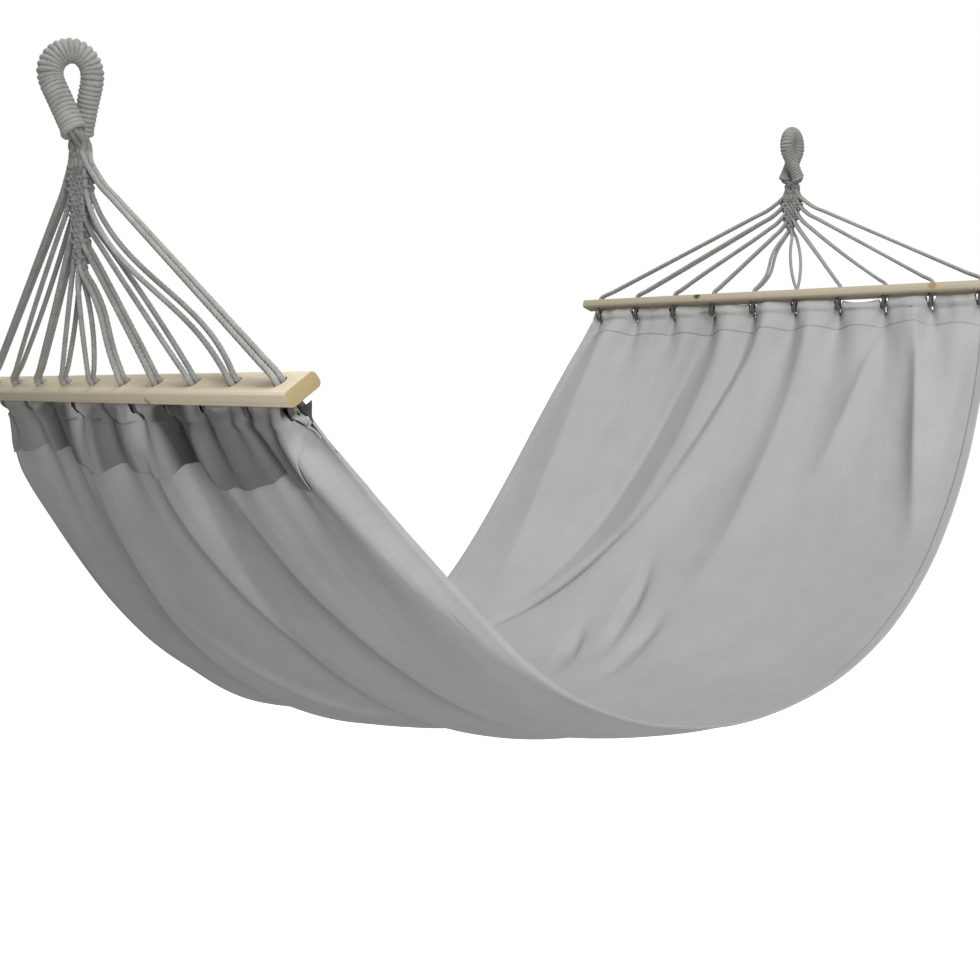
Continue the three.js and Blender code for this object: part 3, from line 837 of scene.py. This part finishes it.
# at, drift, near, far, height, full, gone: where the crest meets the hem (-1 near, 1 far), its drift by
# the middle, its widths, its share of foldDepth, how near the hem it is in full, and where it is gone
longFolds = {
    "head": [
        (-0.915, -0.14, 0.09, 0.07, -1.1, 0.6, 0.2),
        (-0.445, -0.5, 0.3, 0.11, -1.1, 0.5, 0.0),
        (-0.24, -0.06, 0.08, 0.12, 0.7, 0.35, 0),
        (-0.075, -0.45, 0.15, 0.07, -1.05, 0.6, 0.0),
        (0.32, -0.1, 0.34, 0.13, -1.1, 0.6, 0.0),
    ],
    "foot": [
        (-0.69, -0.43, 0.065, 0.05, 1.25, 0.8, 0.5),
        (-0.2, 0.2, 0.2, 0.08, 0.9, 0.75, 0.35),
        (0.01, 0.68, 0.1, 0.06, 1.05, 0.85, 0.45),
        (0.23, 0.3, 0.12, 0.1, 0.85, 0.7, 0.35),
        (0.35, 0.42, 0.13, 0.06, -1.0, 0.65, 0.25),
        (0.88, -0.2, 0.10, 0.12, 1.1, 0.7, 0.3),
    ],
}
# short folds of the same kind
shortFolds = {
    "head": [
        (-0.16, -0.3, 0.05, 0.05, -0.14, 0.9, 0.4),
        (-0.62, -0.2, 0.06, 0.04, 0.12, 0.95, 0.6),
        (0.22, -0.1, 0.08, 0.05, 0.14, 0.9, 0.5),
        (0.84, -0.1, 0.06, 0.04, -0.16, 0.95, 0.5),
    ],
    "foot": [
        (-0.56, 0.6, 0.06, 0.045, 0.85, 0.93, 0.62),
        (0.08, 0.6, 0.03, 0.03, -0.55, 0.93, 0.6),
        (0.37, 0.42, 0.03, 0.025, -0.22, 0.62, 0.36),
        (0.6, 0.3, 0.05, 0.05, -0.2, 0.8, 0.4),
        (-0.9, 0, 0.03, 0.03, -0.15, 0.95, 0.6),
    ],
}
# gathers that start at the hem and soon fade: across, half width, height
gathers = {
    "head": [
        (-0.93, 0.03, -0.3), (-0.86, 0.02, 0.45), (-0.81, 0.02, -0.45), (-0.755, 0.02, 0.45),
        (-0.71, 0.018, -0.45), (-0.66, 0.02, 0.4), (-0.6, 0.04, -0.45), (-0.45, 0.07, 0.5),
        (-0.25, 0.05, -0.4), (-0.13, 0.03, 0.4), (-0.04, 0.05, -0.35), (0.12, 0.03, 0.45),
        (0.26, 0.04, 0.45), (0.42, 0.07, -0.45), (0.54, 0.03, 0.4), (0.65, 0.06, -0.35),
        (0.8, 0.04, 0.45), (0.92, 0.03, -0.3),
    ],
    "foot": [
        (-0.93, 0.04, 0.3), (-0.83, 0.03, -0.3), (-0.67, 0.05, 0.35), (-0.54, 0.03, -0.35),
        (-0.44, 0.05, 0.3), (-0.3, 0.03, -0.35), (-0.16, 0.05, 0.3), (-0.07, 0.03, -0.3),
        (0.04, 0.04, 0.35), (0.15, 0.03, -0.35), (0.27, 0.05, 0.3), (0.38, 0.03, -0.35),
        (0.52, 0.05, 0.3), (0.66, 0.04, -0.3), (0.78, 0.04, 0.35), (0.9, 0.04, -0.3),
    ],
}
# dents and swellings: along, across, half length, half width, slant, height
dents = [
    (0.39, 0.12, 0.085, 0.030, 0.4, -0.85),
    (0.25, 0.21, 0.06, 0.030, 0.6, -0.85),
    (0.27, -0.05, 0.075, 0.035, 0.1, -0.75),
    (0.45, 0.49, 0.12, 0.022, -1.05, -1.0),
    (-0.42, 0.02, 0.12, 0.03, -1.1, -0.3),
    (-0.2, -0.22, 0.12, 0.12, 0, 0.95),
    (-0.18, -0.74, 0.13, 0.12, 0, 0.45),
    (-0.27, 0.68, 0.14, 0.14, 0, -0.6),
    (-0.5, 1.0, 0.2, 0.08, 0, 0.4),
    (-0.88, 1.0, 0.13, 0.12, 0, -0.7),
    (-0.62, -1.0, 0.3, 0.075, 0, 1.15),
]
creaseFacts = {
    "foldDepth": 0.024, "foldRoundness": 1.35,
    "foldLoss": 0.75,  # at the hem, where the hem has a shape of its own
    "hemPower": 24,
    "pleatDepth": 0.011,
    "pleatWay": {"head": 1, "foot": -1.7},
    "pleatAtHem": 0.6,
    "pleatWidth": 0.008, "pleatWidening": 0.28, "pleatFade": 0.085,
    "wave": 0.35, "wavePower": 9,
    "gatherShare": {"head": 0.5, "foot": 0.72},
    "gatherFade": {"head": 0.05, "foot": 0.085},
    "gatherWidening": 9,
    # noise: pace along, pace across, seed, height
    "soft": [(2.3, 3.1, 4.7, 0.0022), (9, 13, 1.3, 0.0007)],
    "crumple": (30, 34, 8.1, 0.0016), "crumplePower": 10,
    "noiseLoss": 0.6,
}


def curveAcross(near, middle, far, t):
    return middle + (far - near) / 2 * t + ((far + near) / 2 - middle) * t * t


def smoothStep(x, low, high):
    share = min(1, max(0, (x - low) / (high - low)))
    return share * share * (3 - 2 * share)


bedLines = {}


def bedLine(t):
    key = round(t, 5)
    if key in bedLines:
        return bedLines[key]
    facts = bedFacts
    low = Vector((facts["lowest"], 0, -curveAcross(*facts["sag"], t)))
    halves = {}
    for end in (head, foot):
        hem = end["frame"] @ Vector((0, t * facts["halfAtBar"], hang["clothLevel"]))
        edge, middle = facts["slopes"][end["name"]]
        slope = math.radians(curveAcross(edge, middle, edge, t))
        top, bottom = facts["reach"][end["name"]]
        way = end["inward"]
        halves[end["name"]] = (
            hem,
            Vector((hem.x + way * top * math.cos(slope), 0, hem.z - top * math.sin(slope))),
            Vector((low.x - way * bottom, 0, low.z)),
            low,
        )
    bedLines[key] = halves
    return halves


def smoothBed(s, t):
    halves = bedLine(t)
    a, b, c, d = halves["head" if s < 0 else "foot"]
    u = 1 - abs(s)
    point = a * (1 - u) ** 3 + b * (3 * (1 - u) ** 2 * u) + c * (3 * (1 - u) * u * u) + d * u ** 3
    point.y = mix(halves["head"][0].y, halves["foot"][0].y, (s + 1) / 2)
    spread = bedFacts["halfAtMiddle"] - bedFacts["halfAtBar"]
    point.y += t * spread * (1 - abs(s) ** bedFacts["widening"])
    return point


def bedFacing(s, t):
    if abs(s) >= 1:
        end = head if s < 0 else foot
        return (end["frame"].to_3x3() @ Vector((end["inward"], 0, 0))).normalized()
    ds = min(bedFacts["probe"], 1 - abs(s))
    dt = bedFacts["probe"] if t < 0 else -bedFacts["probe"]
    along = smoothBed(s + ds, t) - smoothBed(s - ds, t)
    across = (smoothBed(s, t + dt) - smoothBed(s, t)) * (1 if dt > 0 else -1)
    return along.cross(across).normalized()


def ripple(s, t, along, across, seed, height):
    return noise.noise(Vector((s * along, t * across, seed))) * height


def pleatOffset(name, t, nearness, atHem, below):
    facts = creaseFacts
    across = t * bedFacts["halfAtBar"] / hang["pitch"] - (hang["holes"] - 1) / 2
    toCord = (across - round(across)) * hang["pitch"]
    width = facts["pleatWidth"] + below * facts["pleatWidening"]
    narrow = math.exp(-((toCord / width) ** 2)) * math.exp(-below / facts["pleatFade"])
    wave = math.cos(2 * math.pi * toCord / hang["pitch"])
    pinch = wave * nearness ** facts["wavePower"] * facts["wave"] + narrow
    return facts["pleatDepth"] * pinch * facts["pleatWay"][name] * mix(1, facts["pleatAtHem"], atHem)


def foldOffset(s, t):
    facts = creaseFacts
    name = "head" if s < 0 else "foot"
    nearness = min(1, abs(s))
    atHem = nearness ** facts["hemPower"]
    below = (1 - nearness) * 3 * bedFacts["reach"][name][0]
    folds = 0
    for at, drift, near, far, high, full, gone in longFolds[name] + shortFolds[name]:
        off = t - at - drift * (1 - nearness)
        width = near if off < 0 else far
        if abs(off) < width * 3:
            crest = math.exp(-abs(off / width) ** facts["foldRoundness"])
            folds += high * smoothStep(nearness, gone, full) * crest
    gathered = 0
    for at, wide, high in gathers[name]:
        off = (t - at) / (wide * (1 + below * facts["gatherWidening"]))
        if abs(off) < 3:
            gathered += high * math.exp(-off * off)
    gathered *= facts["gatherShare"][name] * math.exp(-below / facts["gatherFade"][name])
    for along, aside, long, wide, slant, high in dents:
        off = t - aside - slant * (s - along)
        folds += high * math.exp(-((off / wide) ** 2) - ((s - along) / long) ** 2)
    uneven = ripple(s, t, *facts["soft"][0]) + ripple(s, t, *facts["soft"][1])
    uneven += ripple(s, t, *facts["crumple"]) * nearness ** facts["crumplePower"]
    uneven *= 1 - atHem * facts["noiseLoss"]
    pleats = pleatOffset(name, t, nearness, atHem, below)
    long = facts["foldDepth"] * folds * (1 - atHem * facts["foldLoss"])
    return pleats + long + facts["foldDepth"] * gathered + uneven


def clothPoint(s, t, lift=0.0):
    return smoothBed(s, t) + bedFacing(s, t) * (foldOffset(s, t) + lift)


def clothGrid(rows, columns, place, uvPlace):
    bm = bmesh.new()
    uvLayer = bm.loops.layers.uv.new("UVMap")
    bmesh.ops.create_grid(bm, x_segments=rows, y_segments=columns, size=1)
    for face in bm.faces:
        for loop in face.loops:
            loop[uvLayer].uv = uvPlace(loop.vert.co.x, loop.vert.co.y)
    for vert in bm.verts:
        vert.co = place(max(-1, min(1, vert.co.x)), max(-1, min(1, vert.co.y)))
    return bm


def bedUv(s, t):
    return (t * bedFacts["flatHalf"][0], s * bedFacts["flatHalf"][1])


def thicken(piece):
    wall = piece.modifiers.new("thickness", "SOLIDIFY")
    wall.thickness = bedFacts["thickness"]
    wall.offset = 0


bed = pieceFromBmesh("bedCloth", clothGrid(bedFacts["rows"], bedFacts["columns"], clothPoint, bedUv))
thicken(bed)
dress(bed, clothCotton, "sling", "cloth", "bed_cloth")

# Side hems: the long edges of the bed, folded in and sewn
sideFacts = {
    "width": 0.034, "overhang": 1.002,
    "folded": (-1, -0.8),
    "lift": (0.0002, 0.0011),
    "columns": 6,
    "flatMiddle": 0.46, "flatHalf": 0.008,
}


def sideMesh(side):
    facts = sideFacts

    def place(s, v):
        inner = smoothStep(v, *facts["folded"])
        t = side * mix(facts["overhang"], 1 - facts["width"], (1 - v) / 2)
        return clothPoint(s, t, mix(*facts["lift"], inner))

    def uvPlace(s, v):
        return (side * (facts["flatMiddle"] + v * facts["flatHalf"]), s * bedFacts["flatHalf"][1])

    return meshFromBmesh("sideHem", clothGrid(bedFacts["rows"], facts["columns"], place, uvPlace))


sides = joinedPiece("bedSideHems", [sideMesh(-1), sideMesh(1)])
thicken(sides)
dress(sides, clothCotton, "sling", "cloth")
print("bed made")

# Hems: the end of the cloth, folded out over the hem rope, slotted for the cords and sewn down
hemFacts = {
    "rows": 44, "columns": 380,
    "flatHalf": (0.39, 0.073),
    "skirt": 0.030, "skirtLift": (0.0016, 0.0004),
    "around": 0.062, "facing": 0.046,
    "facingLift": -0.0022, "facingDip": (0.005, 4),
    "edgeRise": 14,  # how much the folds raise and lower its edge
    "edgeAt": 0.88,
    "edgeRipple": (9, 0.004),
    "nearShare": 0.3, "nearEnd": (-0.95, -0.86),
    "slotHalf": 0.0046,
    "slotTop": {"head": 1.25, "foot": 1.9},
    "slotFoot": 0.5, "slotTaper": (0.014, 0.034), "slotDepth": 0.0265,
    # the way round the hem rope: inward from it, and up from the middle of the bar
    "loop": [
        (0.0016, -0.0349), (0.0034, -0.0315), (0.0074, -0.0262), (0.0096, -0.0200),
        (0.0078, -0.0136), (0.0040, -0.0106), (0.0000, -0.0098), (-0.0040, -0.0106),
        (-0.0078, -0.0136), (-0.0098, -0.0200), (-0.0096, -0.0255), (-0.0086, -0.0305),
        (-0.0072, -0.0349),
    ],
    "loopTop": -0.0098, "rise": (-0.0345, -0.014),
    "fullness": (1.45, 0.62, 1.6),  # at a cord, between two, how soon
    "shiftOnTop": 0.55,
    "closing": 0.975,  # the ends of the sleeve are sewn flat
    "closed": 0.12,
    "drawnIn": {"near": 0.045, "far": 0.01},
    "ruffle": (17, 5, 3, 0.0022),
    "ropeEnd": 0.958, "ropeBays": 94, "ropeRadius": 0.003, "ropeLay": 0.017,
    # painted shade: how much darker the hem is painted where the cloth is doubled, against the single
    # cloth that light comes through, and on folds turned from the light
    "doubled": {
        "head": [
            (-1.0, 0.1), (-0.93, 0.15), (-0.86, 0.8), (-0.52, 0.85), (-0.46, 0.7), (-0.41, 1.0),
            (-0.25, 1.0), (-0.17, 0.3), (-0.05, 0.3), (0.01, 0.8), (0.19, 0.8), (0.25, 0.3),
            (0.33, 0.3), (0.39, 0.95), (0.59, 0.9), (0.67, 0.6), (1.0, 0.7),
        ],
        "foot": [(-1.0, 0.25), (1.0, 0.25)],
    },
    "shadeStart": (0.12, -0.1),  # where the painted shade starts, for cloth with none and for the darkest
    "shadeStop": (0.3, 0.02),
    # painted shadow under the near end of the head bar: where across is below the first number, the hem
    # is painted dark up to the second share along it, fading out by the third
    "headEnd": (-0.94, 0.1, 0.2),
    "sag": {
        "head": (0.004, 0.006, 0.003, 0.007, 0.004, 0.005, 0.003, 0.006, 0.004),
        "foot": (0.003, 0.004, 0.010, 0.003, 0.002, 0.004, 0.002, 0.003, 0.002),
    },
}


def tabShare(t):
    across = t * bedFacts["halfAtBar"] / hang["pitch"] + (hang["holes"] - 1) / 2
    tab = min(hang["holes"] - 2, max(0, math.floor(across)))
    return tab, min(1, max(0, across - tab))


def loopPoint(place):
    loop = hemFacts["loop"]
    last = len(loop) - 1
    k = min(last - 1, int(place))
    ends = [Vector((*loop[min(last, max(0, k + j))], 0)) for j in (-1, 0, 1, 2)]
    if k == 0:
        ends[0] = ends[1] * 2 - ends[2]
    if k == last - 1:
        ends[3] = ends[2] * 2 - ends[1]
    return bendThrough(*ends, place - k).xy


def hemPlace(end, along, t):
    facts = hemFacts
    s = -end["inward"]
    total = facts["skirt"] + facts["around"] + facts["facing"]
    walked = (along + 1) / 2 * total
    speed = 3 * bedFacts["reach"][end["name"]][0]
    if walked < facts["skirt"]:
        below = facts["skirt"] - walked
        lift = mix(*facts["skirtLift"], min(1, below / facts["skirt"]))
        return clothPoint(s * (1 - below / speed), t, lift)
    if walked > total - facts["facing"]:
        outer = (walked - total + facts["facing"]) / facts["facing"]
        pace, height = facts["edgeRipple"]
        bulge = foldOffset(s * facts["edgeAt"], t) * facts["edgeRise"]
        deep = facts["facing"] * (1 - bulge) + height * noise.noise(Vector((t * pace, 2, 5)))
        deep *= mix(facts["nearShare"], 1, smoothStep(t, *facts["nearEnd"]))
        dip, fade = facts["facingDip"]
        lift = facts["facingLift"] - dip * math.exp(-outer * fade)
        return clothPoint(s * (1 - outer * deep / speed), t, lift)
    x, z = loopPoint((walked - facts["skirt"]) / facts["around"] * (len(facts["loop"]) - 1))
    tab, share = tabShare(t)
    belly = 4 * share * (1 - share)
    rise = smoothStep(z, *facts["rise"])
    closed = smoothStep(abs(t), facts["closing"], 1)
    full, pinched, soon = facts["fullness"]
    fullness = mix(full, pinched, min(1, belly * soon))
    flat = mix(mix(1, fullness, rise), facts["closed"], closed)
    pace, endPace, seed, height = facts["ruffle"]
    ruffle = noise.noise(Vector((t * pace, end["x"] * endPace, seed))) * height * rise
    shift = foldOffset(s, t) * mix(1, facts["shiftOnTop"], rise)
    drawn = facts["drawnIn"]["near" if t < 0 else "far"]
    sagging = facts["sag"][end["name"]][tab] * belly * rise
    return end["frame"] @ Vector((
        end["inward"] * (x * flat + shift + ruffle),
        t * bedFacts["halfAtBar"] * (1 - drawn * rise * closed),
        z - sagging,
    ))


# painted shade across the hem, read from the table
def doubledShade(end, t):
    stops = hemFacts["doubled"][end["name"]]
    for (a, low), (b, high) in zip(stops, stops[1:]):
        if a <= t <= b:
            return mix(low, high, smoothStep(t, a, b))
    return stops[-1][1]


def hemPaintedShade(end, along, t):
    facts = hemFacts
    doubled = doubledShade(end, t)
    start, stop = mix(*facts["shadeStart"], doubled), mix(*facts["shadeStop"], doubled)
    dark = doubled * smoothStep(along, start, stop)
    # painted shadow under the near end of the head bar
    edge, low, high = facts["headEnd"]
    if t < edge and end is head:
        dark = max(dark, 1 - smoothStep(along, low, high))
    return dark


def hemMesh(end):
    facts = hemFacts
    flatAcross, flatAlong = facts["flatHalf"]

    def place(along, t):
        return hemPlace(end, along, t)

    def uvPlace(along, t):
        return (t * flatAcross, end["x"] + along * flatAlong)

    bm = clothGrid(facts["rows"], facts["columns"], place, uvPlace)
    # painted shade kept in a vertex colour layer
    shadeLayer = bm.loops.layers.color.new("doubled")
    uvLayer = bm.loops.layers.uv.active
    back = end["frame"].inverted()
    gone = []
    for face in bm.faces:
        middle = back @ face.calc_center_median()
        across = middle.y / hang["pitch"] - 0.5
        toCord = abs(across - round(across)) * hang["pitch"]
        lowness = smoothStep(-middle.z, *facts["slotTaper"])
        half = facts["slotHalf"] * mix(facts["slotTop"][end["name"]], facts["slotFoot"], lowness)
        if toCord < half and middle.z > facts["loopTop"] - facts["slotDepth"]:
            gone.append(face)
        for loop in face.loops:
            u, v = loop[uvLayer].uv
            dark = hemPaintedShade(end, (v - end["x"]) / flatAlong, u / flatAcross)
            loop[shadeLayer] = (dark, dark, dark, 1)
    bmesh.ops.delete(bm, geom=gone, context="FACES")
    return bm


def hemRopeRoute(end):
    facts = hemFacts
    route = []
    for k in range(facts["ropeBays"] + 1):
        t = mix(-facts["ropeEnd"], facts["ropeEnd"], k / facts["ropeBays"])
        tab, share = tabShare(t)
        sagging = facts["sag"][end["name"]][tab] * 4 * share * (1 - share)
        route.append(end["frame"] @ Vector((0, t * bedFacts["halfAtBar"], hang["ropeLevel"] - sagging)))
    return route


for end in (head, foot):
    name = end["name"]
    hem = pieceFromBmesh(f"{name}Hem", hemMesh(end))
    thicken(hem)
    dress(hem, hemCotton, "sling", "cloth", f"{name}_hem")
    mesh = ropeMesh("hemRope", hemRopeRoute(end), hemFacts["ropeRadius"], hemFacts["ropeLay"], twisted)
    rope = pieceFromMesh(f"{name}HemRope", mesh)
    dress(rope, cordCotton, "sling", "cord", f"{name}_hem_rope")
print("hems made")

for profile in (twisted, plainRound):
    bpy.data.objects.remove(profile)

# Stage: a pale floor under soft light
stageFacts = {
    "floor": -1.40, "floorMiddle": 0.7, "floorHalf": 12,
    "seen": 0.80,  # the floor's colour and glow for the camera
    "bounce": 0.46,  # its colour for the light it throws back
    "fill": 0.32,
    "surface": {"Roughness": 0.9, "Specular IOR Level": 0.0, "Emission Color": (1, 1, 1, 1)},
    # name, place, aim, size, power
    "lamps": [
        ("key", (-0.8, -3.0, 2.5), (0.7, 0, -0.5), 1.0, 70),
        ("side", (-1.4, -3.2, -0.1), (0.6, 0, -0.5), 0.6, 74),
        ("top", (0.2, 0.2, 2.7), (0.4, 0, -0.8), 1.4, 54),
        ("back", (2.5, 3.2, 1.2), (0.7, 0, -0.4), 1.2, 22),
    ],
}


def addFloor(facts):
    bm = bmesh.new()
    bmesh.ops.create_grid(bm, x_segments=1, y_segments=1, size=facts["floorHalf"])
    bmesh.ops.translate(bm, vec=(facts["floorMiddle"], 0, facts["floor"]), verts=bm.verts)
    floor = pieceFromBmesh("floor", bm)
    material, tree, shader = newMaterial("floorWhite")
    setSockets(shader, facts["surface"])
    seen = addNode(tree, "ShaderNodeLightPath").outputs["Is Camera Ray"]
    glow = addMath(tree, "MULTIPLY", seen, facts["seen"])
    tree.links.new(glow, shader.inputs["Emission Strength"])
    stops = [(0.0, [facts["bounce"]] * 3), (1.0, [facts["seen"]] * 3)]
    tree.links.new(addRamp(tree, seen, stops), shader.inputs["Base Color"])
    floor.data.materials.append(material)


def addStage(facts):
    addFloor(facts)
    world = bpy.data.worlds.new("studio")
    scene.world = world
    world.use_nodes = True
    tree = world.node_tree
    background = tree.nodes["Background"]
    background.inputs["Color"].default_value = (1, 1, 1, 1)
    seen = addNode(tree, "ShaderNodeLightPath")
    strength = addNode(tree, "ShaderNodeMapRange", None, {"To Min": facts["fill"], "To Max": 1.0})
    tree.links.new(seen.outputs["Is Camera Ray"], strength.inputs["Value"])
    tree.links.new(strength.outputs["Result"], background.inputs["Strength"])
    for name, place, aim, size, power in facts["lamps"]:
        lamp = bpy.data.lights.new(name, "AREA")
        lamp.shape = "SQUARE"
        lamp.size = size
        lamp.energy = power
        light = bpy.data.objects.new(name, lamp)
        scene.collection.objects.link(light)
        turn = (Vector(aim) - Vector(place)).to_track_quat("-Z", "Y")
        light.matrix_world = Matrix.Translation(place) @ turn.to_matrix().to_4x4()


addStage(stageFacts)
print("stage made")
